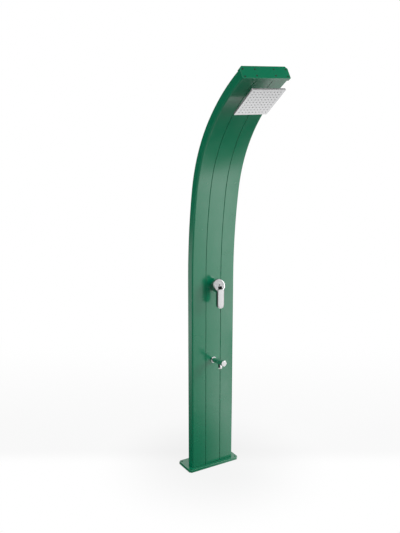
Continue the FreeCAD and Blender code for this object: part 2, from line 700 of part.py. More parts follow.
def head_elbow():
    """Elbow at the top of the riser; its male end comes out of the front panel."""
    body = new_body("head_elbow", "0", "post_y + elbow_y", "foot_z + elbow_z", "head_turn")
    rod(body, "tee_radius", "-tee_half", "tee_radius")
    shoulder = "panel_thick + slide_gap - pipe_depth"
    tip = "-pipe_depth - stud_socket - rosette_thick"
    revolve(body, [("0", "tap_bore"), ("0", tip), ("male_radius", tip),
                   ("male_radius", shoulder), ("branch_radius", shoulder),
                   ("branch_radius", "tap_bore")], plane="XY")
    rod(body, "head_bore", "-tee_half", "tap_bore / 2", kind="Groove")
    rod(body, "pipe_radius + 3 * socket_gap", "-tee_half", "socket_depth - tee_half",
        kind="Groove")
    mouth = sketch(body, "XZ", "-tap_bore / 2")
    circle(mouth, "0", "0", "tap_bore")
    pocket(body, mouth, "pipe_depth * 2", Reversed=True)


# ----------------------------------------------------------------------------- mixer
def mixer_body():
    """Brass body behind the front panel: a tube for the cartridge, two inlets below
    and the outlet above."""
    body = wall_body("mixer_body", "mixer_height")
    back = "-mixer_shoulder - mixer_body_depth"
    revolve(body, [("0", back), ("mixer_body_radius", back),
                   ("mixer_body_radius", "-mixer_shoulder"),
                   ("mixer_tube_radius", "-mixer_shoulder"),
                   ("mixer_tube_radius", "mixer_tube_out"), ("0", "mixer_tube_out")])
    inlets = sketch(body, "XZ")
    for sign in ("-", ""):
        circle(inlets, sign + "inlet_spread", "-pipe_depth", "boss_radius")
    pad(body, inlets, "boss_length")
    outlet = sketch(body, "XZ")
    circle(outlet, "0", "-pipe_depth", "boss_radius")
    pad(body, outlet, "boss_length", Reversed=True)
    revolve(body, [("0", "-cartridge_floor"), ("cartridge_radius + slide_gap / 2", "-cartridge_floor"),
                   ("cartridge_radius + slide_gap / 2", "cartridge_out"),
                   ("mouth_radius + slide_gap / 2", "cartridge_out"),
                   ("mouth_radius + slide_gap / 2", "mixer_tube_out"),
                   ("0", "mixer_tube_out")], kind="Groove")
    for radius, start in (("head_bore", "boss_radius / 4"),
                          ("socket_radius", "boss_length - socket_depth")):
        drawing = sketch(body, "XZ", start)
        for sign in ("-", ""):
            circle(drawing, sign + "inlet_spread", "-pipe_depth", radius)
        pocket(body, drawing, "boss_length", Reversed=True)
        drawing = sketch(body, "XZ", "-(%s)" % start)
        circle(drawing, "0", "-pipe_depth", radius)
        pocket(body, drawing, "boss_length")
    ducts = sketch(body, "XY", "-cartridge_floor")
    for x, y in (("-inlet_spread", "-boss_radius"), ("inlet_spread", "-boss_radius"),
                 ("0", "boss_radius")):
        circle(ducts, "(%s) * 0.8" % x, y, "head_bore / 2")
    pocket(body, ducts, "pipe_depth - cartridge_floor")


def mixer_parts():
    """What sits on and in the mixer's body, from the panel outwards."""
    washer = wall_body("mixer_washer", "mixer_height")
    ring(washer, "mixer_tube_radius + slide_gap", "washer_radius", "-mixer_shoulder",
         "-panel_thick")
    cartridge = wall_body("mixer_cartridge", "mixer_height")
    rod(cartridge, "cartridge_radius", "slide_gap - cartridge_floor", "cartridge_out - slide_gap")
    nut = wall_body("cartridge_nut", "mixer_height")
    ring(nut, "nut_bore", "mouth_radius", "cartridge_out", "mixer_tube_out - slide_gap")
    seal = wall_body("sleeve_seal", "mixer_height")
    ring(seal, "mixer_tube_radius + slide_gap", "sleeve_radius - slide_gap * 2", "0",
         "seal_thick")
    sleeve = wall_body("mixer_sleeve", "mixer_height")
    ring(sleeve, "mixer_tube_radius + slide_gap", "sleeve_radius", "seal_thick", "sleeve_out")
    turret = wall_body("cartridge_turret", "mixer_height")
    base = "cartridge_out + slide_gap"
    rod(turret, "turret_radius", base, base + " + turret_thick")
    ears = sketch(turret, "XY", base)
    for sign in ("-", ""):
        block(ears, sign + "ear_inner", "-ear_half", sign + "ear_outer", "ear_half")
    pad(turret, ears, "pivot_out + ear_half - (%s)" % base)
    hole = sketch(turret, "YZ")
    circle(hole, "0", "pivot_out", "pin_radius")
    pocket(turret, hole, "4 * ear_outer", SideType="Symmetric")
    pin = wall_body("lever_pin", "mixer_height")
    drawing = sketch(pin, "YZ")
    circle(drawing, "0", "pivot_out", "pin_radius")
    pad(pin, drawing, "2 * ear_outer", SideType="Symmetric")


def mixer_dome():
    """Half sphere over the cartridge, turning with the lever; a slot lets the stem tilt."""
    body = wall_body("mixer_dome", "mixer_height", out="pivot_out")
    revolve(body, [("dome_bore", "0", "dome_bore", -1), ("sleeve_radius", "0"),
                   ("0", "sleeve_radius", "sleeve_radius", 1), ("0", "dome_bore")])
    slot = sketch(body, "YZ")
    low = "handle_slope - slot_margin"
    middle = "handle_slope + lever_lift / 2"
    high = "handle_slope + lever_lift + slot_margin"
    corners = [("0", "0")]
    for reach, angle in (("1.3", low), ("1.8", middle), ("1.3", high)):
        corners.append(("%s * sleeve_radius * sin(%s)" % (reach, angle),
                        "%s * sleeve_radius * cos(%s)" % (reach, angle)))
    outline(slot, corners)
    pocket(body, slot, "slot_wide", SideType="Symmetric")


def mixer_handle():
    """Lever handle: a round cap whose axis rises by handle_slope, and a flat lever that
    hangs upright from its lower rim, with a window at its root."""
    body = wall_body("mixer_handle", "mixer_height", out="pivot_out")
    revolve(body, [("0", "grip_back"), ("grip_radius", "grip_back", "grip_round / 2"),
                   ("grip_radius", "grip_front", "grip_round"), ("0", "grip_front")],
            plane="YZ", spin="-handle_slope")
    lever = sketch(body, "XZ", "lever_root")
    back = "lever_front - lever_thick"
    outline(lever, [("-lever_width / 2", back, "lever_back_round"),
                    ("lever_width / 2", back, "lever_back_round"),
                    ("lever_width / 2", "lever_front", "lever_front_round"),
                    ("-lever_width / 2", "lever_front", "lever_front_round")])
    pad(body, lever, "lever_drop - lever_root")
    tip = sketch(body, "XY", "lever_front + 1")
    centre = "lever_width / 2 + 1 - lever_drop"
    side = "lever_width / 2 + 1"
    outline(tip, [("-(%s)" % side, centre, side, -1), ("-(%s)" % side, "-lever_drop - 1"),
                  (side, "-lever_drop - 1"), (side, centre), ("0", "-lever_drop", side, -1)])
    pocket(body, tip, "lever_thick + 2")
    hollow = sketch(body, "XZ", "lever_root + grip_radius")
    side = "lever_width / 2 - grip_wall"
    block(hollow, "-(%s)" % side, back + " - 1", side, "lever_front - grip_wall",
          "lever_back_round")
    pocket(body, hollow, "lever_drop - lever_root - grip_radius - lever_width / 4",
           Reversed=True)
    revolve(body, [("0", "0"), ("recess_radius", "0"),
                   ("0", "recess_radius", "recess_radius", 1)],
            kind="Groove", plane="YZ", spin="-handle_slope")
    ring(body, "grip_boss", "grip_radius - grip_wall", "grip_back - 1",
         "grip_front - grip_wall", kind="Groove", plane="YZ", spin="-handle_slope")
    front = across("handle_slope", "grip_front")
    window = sketch(body, offset=front)
    block(window, "-window_wide / 2", "-window_drop - window_high / 2", "window_wide / 2",
          "window_high / 2 - window_drop", "window_round")
    pocket(body, window, "window_deep")
    head_low = "stem_top + slide_gap + handle_screw_radius"
    for radius, deep in (("plug_radius + slide_gap / 2", "grip_front - (%s)" % head_low),
                         ("handle_screw_radius + slide_gap", "grip_front - stem_top")):
        bore = sketch(body, offset=front)
        circle(bore, "0", "0", radius)
        pocket(body, bore, deep)
    socket = sketch(body, offset=across("handle_slope", "stem_top"))
    side = "stem_side / 2 + slide_gap"
    block(socket, "-(%s)" % side, "-(%s)" % side, side, side)
    pocket(body, socket, "stem_top - grip_back / 2")


def lever_body(name):
    """A part on the lever's own axis, placed from the pivot."""
    return wall_body(name, "mixer_height", "90 - handle_slope", "pivot_out")


def lever_parts():
    """Stem, screw and plug inside the lever handle."""
    stem = lever_body("lever_stem")
    drawing = sketch(stem, "XY", "-stem_tail")
    block(drawing, "-stem_side / 2", "-stem_side / 2", "stem_side / 2", "stem_side / 2")
    pad(stem, drawing, "stem_tail + stem_top - slide_gap")
    hole = sketch(stem, "YZ")
    circle(hole, "0", "0", "pin_radius + pin_gap")
    pocket(stem, hole, "2 * stem_side", SideType="Symmetric")
    tapped = sketch(stem, "XY", "stem_top")
    circle(tapped, "0", "0", "handle_screw_radius + socket_gap")
    pocket(stem, tapped, "stem_top / 3")
    screw = lever_body("handle_screw")
    head_low = "stem_top + slide_gap * 2 + handle_screw_radius"
    revolve(screw, [("0", "stem_top * 0.7"), ("handle_screw_radius", "stem_top * 0.7"),
                    ("handle_screw_radius", head_low), ("handle_screw_head", head_low),
                    ("handle_screw_head", head_low + " + handle_screw_radius"),
                    ("0", head_low + " + handle_screw_radius")])
    plug = lever_body("handle_plug")
    rod(plug, "plug_radius", "grip_front - plug_thick", "grip_front - slide_gap")


# -------------------------------------------------------------------------- foot tap
def tap_part(name):
    """A part on the foot tap's rising axis, placed from the front face."""
    return wall_body(name, "tap_height", "90 - tap_slope")


def tap_body():
    """Tube with a threaded shank behind and a downward nozzle near its front end."""
    body = tap_part("tap_body")
    revolve(body, [("0", "-shank_length"), ("shank_radius", "-shank_length"),
                   ("shank_radius", "tap_seat"), ("tap_radius", "tap_seat"),
                   ("tap_radius", "tap_length"), ("0", "tap_length")])
    nozzle = sketch(body, "XZ")
    circle(nozzle, "0", "nozzle_out", "nozzle_radius")
    pad(body, nozzle, "nozzle_drop")
    seat = "tap_length - headwork_length"
    revolve(body, [("0", "-shank_length"), ("tap_bore", "-shank_length"), ("tap_bore", seat),
                   ("tap_front_bore", seat), ("tap_front_bore", "tap_length"),
                   ("0", "tap_length")], kind="Groove")
    mouth = sketch(body, "XZ")
    circle(mouth, "0", "nozzle_out", "nozzle_bore")
    pocket(body, mouth, "nozzle_drop", Reversed=True)


def tap_parts():
    """Collar, aerator and headwork, then the knob and what turns with it."""
    collar = wall_body("tap_collar", "tap_height")
    ring(collar, "tap_radius + slide_gap", "collar_radius", "-tap_seat", "collar_out",
         plane="YZ", spin="-tap_slope")
    flat = sketch(collar)
    circle(flat, "0", "0", "2 * collar_radius")
    pocket(collar, flat, "2 * tap_seat")
    aerator = wall_body("tap_aerator", "tap_height", "90 - tap_slope")
    insert = sketch(aerator, "XZ", "nozzle_drop / 2")
    circle(insert, "0", "nozzle_out", "nozzle_bore - slide_gap")
    circle(insert, "0", "nozzle_out", "head_bore")
    pad(aerator, insert, "aerator_tip - nozzle_drop / 2")
    rim = sketch(aerator, "XZ", "nozzle_drop + slide_gap")
    circle(rim, "0", "nozzle_out", "aerator_rim")
    circle(rim, "0", "nozzle_out", "head_bore")
    pad(aerator, rim, "aerator_tip - nozzle_drop - slide_gap")
    headwork = tap_part("tap_headwork")
    low = "tap_length - headwork_length + slide_gap"
    ring(headwork, "spindle_radius + pin_gap", "tap_front_bore - slide_gap / 2", low,
         "tap_length - slide_gap")
    spindle = tap_part("tap_spindle")
    rod(spindle, "spindle_radius", low + " + running_gap", "tap_length + knob_length - spindle_radius")
    knob = tap_part("tap_knob")
    rear = "tap_length + running_gap"
    tip = "tap_length + knob_length"
    inner = "tap_length + knob_length - spindle_radius + slide_gap"
    revolve(knob, [("spindle_radius + slide_gap / 2", rear), ("knob_radius", rear, "knob_round / 2"),
                   ("knob_radius", tip, "knob_round"), ("0", tip), ("0", inner),
                   ("spindle_radius + slide_gap / 2", inner)])
    middle = "tap_length + knob_length / 2"
    bore = sketch(knob, "XZ")
    circle(bore, "0", middle, "knob_screw_radius + socket_gap")
    pocket(knob, bore, "knob_radius", Reversed=True)
    grub = tap_part("knob_screw")
    drawing = sketch(grub, "XZ", "spindle_radius + slide_gap")
    circle(drawing, "0", middle, "knob_screw_radius")
    pad(grub, drawing, "knob_radius - 2 * spindle_radius")


# ------------------------------------------------------------------------ shower head
def head_fixings():
    """Rosette and ball stud on the elbow's male end; both stay with the post."""
    spot = dict(y="post_y + head_y", z="foot_z + head_z", tilt="90 + head_turn")
    rosette = new_body("head_rosette", **spot)
    revolve(rosette, [("male_radius + slide_gap", "2 * slide_gap"),
                      ("rosette_radius", "2 * slide_gap"),
                      ("rosette_radius", "rosette_thick / 2"),
                      ("stud_radius + 2", "rosette_thick"),
                      ("male_radius + slide_gap", "rosette_thick")])
    stud = new_body("ball_stud", **spot)
    low = "rosette_thick + slide_gap"
    floor = "rosette_thick + stud_socket + slide_gap * 2"
    neck = "ball_out - sqrt(ball_radius^2 - neck_radius^2)"
    tip = "ball_out + sqrt(ball_radius^2 - stud_bore^2)"
    revolve(stud, [("male_radius + socket_gap", low), ("stud_radius", low),
                   ("stud_radius", "stud_end"), ("neck_radius", "stud_end + 2"),
                   ("neck_radius", neck), ("stud_bore", tip, "ball_radius", 1),
                   ("stud_bore", floor), ("male_radius + socket_gap", floor)])


def head_part(name):
    """A part of the shower head, placed from the ball's centre, Z out of the face."""
    return new_body(name, "0", "post_y + ball_y", "foot_z + ball_z",
                    "90 + head_turn")


def ball_seat(name, way):
    """Plastic seat ring round the ball, behind (way "-") or in front of its centre."""
    body = head_part(name)

    def spot(radius, angle):
        return "%s * sin(%s)" % (radius, angle), "%s%s * cos(%s)" % (way, radius, angle)
    inner_near = spot("seat_bore", "seat_near")
    inner_far = spot("seat_bore", "seat_far")
    outer_near = spot("seat_radius", "seat_near")
    outer_far = spot("seat_radius", "seat_far")
    bow = -1 if way else 1
    revolve(body, [inner_near + ("seat_bore", bow), outer_near,
                   outer_far + ("seat_radius", -bow), inner_far])


def swivel_nut():
    """Nut that holds the ball in the head's socket."""
    body = head_part("swivel_nut")
    lip = "sqrt(cavity_radius^2 - nut_lip^2)"
    revolve(body, [(lip, "-nut_lip", "cavity_radius", -1), ("nut_radius", "-nut_lip"),
                   ("nut_radius", "nut_front"), ("nut_thread + socket_gap", "nut_front"),
                   ("nut_thread + socket_gap", "0"), ("cavity_radius", "0")])


def head_back():
    """Square housing of the shower head with the socket for the ball."""
    body = head_part("head_back")
    square = sketch(body, "XY", "head_back_out")
    side = "head_side / 2"
    block(square, "-" + side, "-" + side, side, side, "head_corner")
    pad(body, square, "head_thick - face_thick")
    start = "slide_gap * 3"
    reach = "sqrt(cavity_radius^2 - head_bore^2)"
    mouth = "sqrt(cavity_radius^2 - (%s)^2)" % start
    revolve(body, [("nut_thread", start), ("nut_thread", "head_back_out + back_wall / 2"),
                   ("head_bore", "head_back_out + back_wall / 2"), ("head_bore", reach),
                   (mouth, start, "cavity_radius", -1)])
    chamber = sketch(body, "XY", "head_front_out - face_thick")
    wall = "head_side / 2 - rim_wall"
    block(chamber, "-(%s)" % wall, "-(%s)" % wall, wall, wall)
    pocket(body, chamber, "head_thick - face_thick - back_wall")
    bore = sketch(body, "XY", "head_front_out - face_thick")
    circle(bore, "0", "0", "head_bore")
    pocket(body, bore, "head_thick - face_thick")


def jets(body, radius, low, length, kind):
    """A square field of jets: one round pad or pocket and its pattern both ways."""
    drawing = sketch(body, "XY", low)
    corner = "-nozzle_pitch * (nozzle_count - 1) / 2"
    circle(drawing, corner, corner, radius)
    first = (pad if kind == "Pad" else pocket)(body, drawing, length)
    field = body.newObject("PartDesign::LinearPattern", body.Name + "_field")
    field.Originals = [first]
    field.Direction = (drawing, ["H_Axis"])
    field.Direction2 = (drawing, ["V_Axis"])
    for word in ("Length", "Length2"):
        field.setExpression(word, bound("nozzle_pitch * (nozzle_count - 1)"))
    for word in ("Occurrences", "Occurrences2"):
        field.setExpression(word, bound("nozzle_count"))
    body.Tip = field


def head_face_and_mat():
    """Perforated face plate, and the soft mat whose jets stand through its holes."""
    face = head_part("head_face")
    side = "head_side / 2"
    drawing = sketch(face, "XY", "head_front_out - face_thick")
    block(drawing, "-" + side, "-" + side, side, side, "head_corner")
    pad(face, drawing, "face_thick")
    jets(face, "jet_radius + jet_gap", "head_front_out", "face_thick", "Pocket")
    mat = head_part("nozzle_mat")
    half = "head_side / 2 - rim_wall - mat_inset"
    drawing = sketch(mat, "XY", "head_front_out - face_thick - mat_thick - slide_gap")
    block(drawing, "-(%s)" % half, "-(%s)" % half, half, half)
    pad(mat, drawing, "mat_thick")
    jets(mat, "jet_radius", "head_front_out - face_thick - slide_gap",
         "face_thick + slide_gap + jet_tip", "Pad")


# ----------------------------------------------------------------------- the assembly
FOOT = dict(y="post_y")
END = dict(y="post_y + end_y", z="foot_z + end_z", tilt="turn_c")

base_plate()
post_gasket("foot_gasket", "foot_gasket_thick", "plate_thick", **FOOT)
screws("foot_screws", "0", "foot_z + screw_grip", "0", **FOOT)
side_profile("side_profile_left", -1)
side_profile("side_profile_right", 1)
front_panel()
panel("rear_panel", "")
post_gasket("cap_gasket", "cap_gasket_thick", "0", **END)
end_cap()
CAP_SEAT = "cap_gasket_thick + cap_thick - screw_head_high"
screws("cap_screws", "-screw_grip / 2", CAP_SEAT, CAP_SEAT, **END)
inlet_bracket()
bracket_rivets()
supply("cold_inlet", "-")
supply("hot_inlet", "")
pair_of_rings("inlet_nuts", "shelf_thick", "shelf_thick + hex_nut_high",
              "male_radius + socket_gap", "hex_nut_radius")
check_valves()
MIXER_FOOT = "mixer_height - boss_length + socket_depth - slide_gap"
offset_pipe("cold_pipe_lower", "-supply_spread", "0", "valve_top - socket_depth + slide_gap",
            "tee_z - tee_half + socket_depth - slide_gap", "tap_height / 2")
offset_pipe("cold_pipe_upper", "0", "-inlet_spread", "tee_z + tee_half - socket_depth + slide_gap",
            MIXER_FOOT, "(tee_z + mixer_height) / 2")
offset_pipe("hot_pipe", "supply_spread", "inlet_spread", "valve_top - socket_depth + slide_gap",
            MIXER_FOOT, "(tee_z + mixer_height) / 2")
supply_tee()
riser_pipe()
riser_clip("riser_clip_lower", "turn_a / 2", "one_y", "straight_run", "bend_one_radius")
riser_clip("riser_clip_upper", "(turn_a + turn_b) / 2", "two_y", "two_z", "bend_two_radius")
head_elbow()
mixer_body()
mixer_parts()
mixer_dome()
mixer_handle()
lever_parts()
tap_body()
tap_parts()
head_fixings()
ball_seat("ball_seat_rear", "-")
ball_seat("ball_seat_front", "")
swivel_nut()
head_back()
head_face_and_mat()
doc.recompute()

# --------------------------------------------------------------- checks and STEP files
for item in doc.Objects:
    if "Invalid" in item.State or "Error" in item.State:
        raise RuntimeError("%s failed: %s" % (item.Name, item.State))
for body in NODES:
    if body.Shape.isNull() or not body.Shape.isValid():
        raise RuntimeError("%s has no valid shape" % body.Label)
    for item in body.Group:
        base = getattr(item, "BaseFeature", None)
        if base and hasattr(item, "Profile"):
            grown = item.Shape.Volume - base.Shape.Volume
            cuts = item.TypeId.split("::")[1] in ("Pocket", "Groove")
            if (-grown if cuts else grown) < 1e-3 or item.Shape.Volume < 1:
                raise RuntimeError("%s changes nothing or loses its base" % item.Name)
os.makedirs("parts", exist_ok=True)
for body in NODES:
    body.Shape.exportStep("parts/%s.step" % body.Label)
    print("%-20s %2d solid(s) %12.1f mm3" % (body.Label, len(body.Shape.Solids), body.Shape.Volume))
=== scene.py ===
"""Looks of the outdoor shower post: glossy green column, chrome fittings, steel head.

Metres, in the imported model's frame: floor at z = 0, the bather stands on the -Y side.
New pieces are surfaces worked out with numpy, in millimetres: a section carried along
the post's curve, or rings of one outline set behind each other.
"""
import json
import math

import bpy
import numpy as np
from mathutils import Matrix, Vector


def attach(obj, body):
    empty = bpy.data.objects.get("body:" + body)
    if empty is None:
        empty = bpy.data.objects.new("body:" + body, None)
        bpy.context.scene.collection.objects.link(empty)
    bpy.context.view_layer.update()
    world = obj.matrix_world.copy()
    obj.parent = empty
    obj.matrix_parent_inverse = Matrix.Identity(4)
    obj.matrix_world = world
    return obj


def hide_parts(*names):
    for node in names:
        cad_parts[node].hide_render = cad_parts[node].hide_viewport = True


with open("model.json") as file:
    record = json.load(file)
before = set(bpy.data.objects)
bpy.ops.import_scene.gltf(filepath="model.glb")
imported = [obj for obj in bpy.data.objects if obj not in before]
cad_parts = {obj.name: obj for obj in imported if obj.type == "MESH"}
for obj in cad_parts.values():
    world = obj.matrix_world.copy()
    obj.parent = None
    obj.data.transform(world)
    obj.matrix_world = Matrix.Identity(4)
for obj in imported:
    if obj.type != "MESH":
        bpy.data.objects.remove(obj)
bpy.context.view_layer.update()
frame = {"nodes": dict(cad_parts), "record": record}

MM = 0.001
TAU = 2 * math.pi

# ---------------------------------------------------------------- sizes in millimetres
FOOT_Z = 17.5               # the column starts here, on the plate and its gasket
POST_Y = -20.0              # middle of the straight column
POST_WIDTH = 280.0
POST_DEPTH = 55.0
POST_CORNER = 8.0
STRAIGHT = 1155.0
BENDS = ((2912.0, 9.97), (812.0, 28.66), (1053.0, 18.67))   # radius, degrees
SMALL_EDGE = 0.6            # rounding at the joints of the column's front
JOINT_EDGE = 51.5           # inner edge of a side profile
PANEL_EDGE = 48.5           # outer edge of a panel
PANEL_THICK = 3.0
LEDGE_TIP = 43.5            # the side profiles' ledges, which carry the panels
LEDGE_FACE = 3.2
LEDGE_THICK = 2.5
MIXER_Z = FOOT_Z + 1110.0
PIVOT = np.array((0.0, POST_Y - POST_DEPTH / 2 - 18.5, MIXER_Z))
HANDLE_SLOPE = math.radians(27.0)
GRIP_FRONT = 51.5           # from the pivot to the handle's face, along its axis
WINDOW_DROP = 16.0          # from the handle's axis down to the window's middle
LEVER_WIDTH = 46.0
LEVER_FRONT = 63.5
LEVER_THICK = 19.0
LEVER_DROP = 111.0


# ------------------------------------------------------------------------ mesh helpers
def mesh_piece(name, points, faces, body, material, covers=(), sharp=35):
    """A mesh from points in millimetres, riding on a body and standing for CAD nodes."""
    mesh = bpy.data.meshes.new(name)
    mesh.from_pydata((np.asarray(points, float) * MM).tolist(), [], faces)
    mesh.validate()
    mesh.shade_smooth()
    mesh.set_sharp_from_angle(angle=math.radians(sharp))
    mesh.materials.append(material)
    piece = bpy.data.objects.new(name, mesh)
    bpy.context.scene.collection.objects.link(piece)
    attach(piece, body)
    if covers:
        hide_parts(*covers)
    return piece


def grid_faces(rows, columns):
    """Quads between rows of points, each row a closed ring of so many points."""
    r, c = np.meshgrid(np.arange(rows - 1), np.arange(columns), indexing="ij")
    right = (c + 1) % columns
    quads = np.stack([r * columns + c, r * columns + right, (r + 1) * columns + right,
                      (r + 1) * columns + c], axis=-1)
    return quads.reshape(-1, 4).tolist()


def rounded(corners, steps=6):
    """A closed outline from (x, y, radius) corners: each corner with a radius becomes an
    arc tangent to both of its sides, centred where the two offset sides meet."""
    spots = np.array([corner[:2] for corner in corners], float)
    outline = []
    for i, (x, y, radius) in enumerate(corners):
        here = spots[i]
        if radius <= 0:
            outline.append(here[None])
            continue
        back = spots[i - 1] - here
        ahead = spots[(i + 1) % len(spots)] - here
        back /= np.linalg.norm(back)
        ahead /= np.linalg.norm(ahead)
        half = math.acos(float(np.clip(back @ ahead, -1, 1))) / 2
        middle = (back + ahead) / np.linalg.norm(back + ahead)
        centre = here + middle * radius / math.sin(half)
        start = here + back * radius / math.tan(half) - centre
        end = here + ahead * radius / math.tan(half) - centre
        a = math.atan2(start[1], start[0])
        b = math.atan2(end[1], end[0])
        sweep = (b - a + math.pi) % TAU - math.pi
        angle = a + sweep * np.linspace(0, 1, steps + 1)
        outline.append(centre + radius * np.stack([np.cos(angle), np.sin(angle)], 1))
    return np.concatenate(outline)


def inward(outline, distance):
    """The outline moved inward along its normals; a normal is a quarter turn of the run
    between a point's neighbours."""
    run = np.roll(outline, -1, axis=0) - np.roll(outline, 1, axis=0)
    run /= np.linalg.norm(run, axis=1, keepdims=True)
    return outline + distance * np.stack([-run[:, 1], run[:, 0]], 1)


def post_stations(straight_rows=12, steps=28):
    """Where the post's front face runs, from its foot to its end: the straight run, then
    three tangent arcs. Each row is (centre y, centre z, radius, turn); on the straight
    run the centre rises with the station, so a point is always centre + radius * turn."""
    radius = BENDS[0][0]
    y = -POST_DEPTH / 2 - radius
    rise = np.linspace(0, STRAIGHT, straight_rows + 1)[:-1]
    rows = [np.array([(y, z, radius, 0.0) for z in rise])]
    z = STRAIGHT
    start = 0.0
    for k, (radius, turn) in enumerate(BENDS):
        end = start + math.radians(turn)
        is_last = k + 1 == len(BENDS)
        angle = np.linspace(start, end, steps + 1)[: steps + is_last]
        rows.append(np.stack([np.full_like(angle, y), np.full_like(angle, z),
                              np.full_like(angle, radius), angle], 1))
        if not is_last:
            y += (radius - BENDS[k + 1][0]) * math.cos(end)
            z += (radius - BENDS[k + 1][0]) * math.sin(end)
        start = end
    return np.concatenate(rows)


STATIONS = post_stations()


def held_flats(section, strip=0.35, shortest=6):
    """The section with two more points on each side longer than so many strips, a strip
    from its ends, so that the shading of its round edges stays off the flats."""
    ahead = np.roll(section, -1, axis=0) - section
    length = np.linalg.norm(ahead, axis=1, keepdims=True)
    step = ahead / np.maximum(length, 1e-9) * strip
    rows = np.stack([section, section + step, section + ahead - step], 1)
    keep = np.ones((len(section), 3), bool)
    keep[:, 1:] = length > shortest * strip
    return rows[keep]


def along_post(name, section, covers):
    """A closed section of (x, depth behind the front face) carried along the post: each
    point lies on its station's normal, radius + depth away from the arc's centre."""
    section = held_flats(section)
    x = section[:, 0][None, :]
    reach = STATIONS[:, 2:3] + section[:, 1][None, :]
    turn = STATIONS[:, 3:4]
    y = POST_Y + STATIONS[:, 0:1] + reach * np.cos(turn)
    z = FOOT_Z + STATIONS[:, 1:2] + reach * np.sin(turn)
    grid = np.stack([np.broadcast_to(x, y.shape), y, z], -1)
    rows, columns = y.shape
    faces = grid_faces(rows, columns)
    faces.append(list(range(columns))[::-1])
    faces.append(list(range((rows - 1) * columns, rows * columns)))
    return mesh_piece(name, grid.reshape(-1, 3), faces, "post",
                      FINISHES["green_aluminium"], covers)


# --------------------------------------------------------------------------- materials
def linear(r, g, b):
    """An sRGB colour of 0 to 255 as linear light."""
    c = np.array((r, g, b)) / 255
    return (*np.where(c <= 0.04045, c / 12.92, ((c + 0.055) / 1.055) ** 2.4), 1.0)


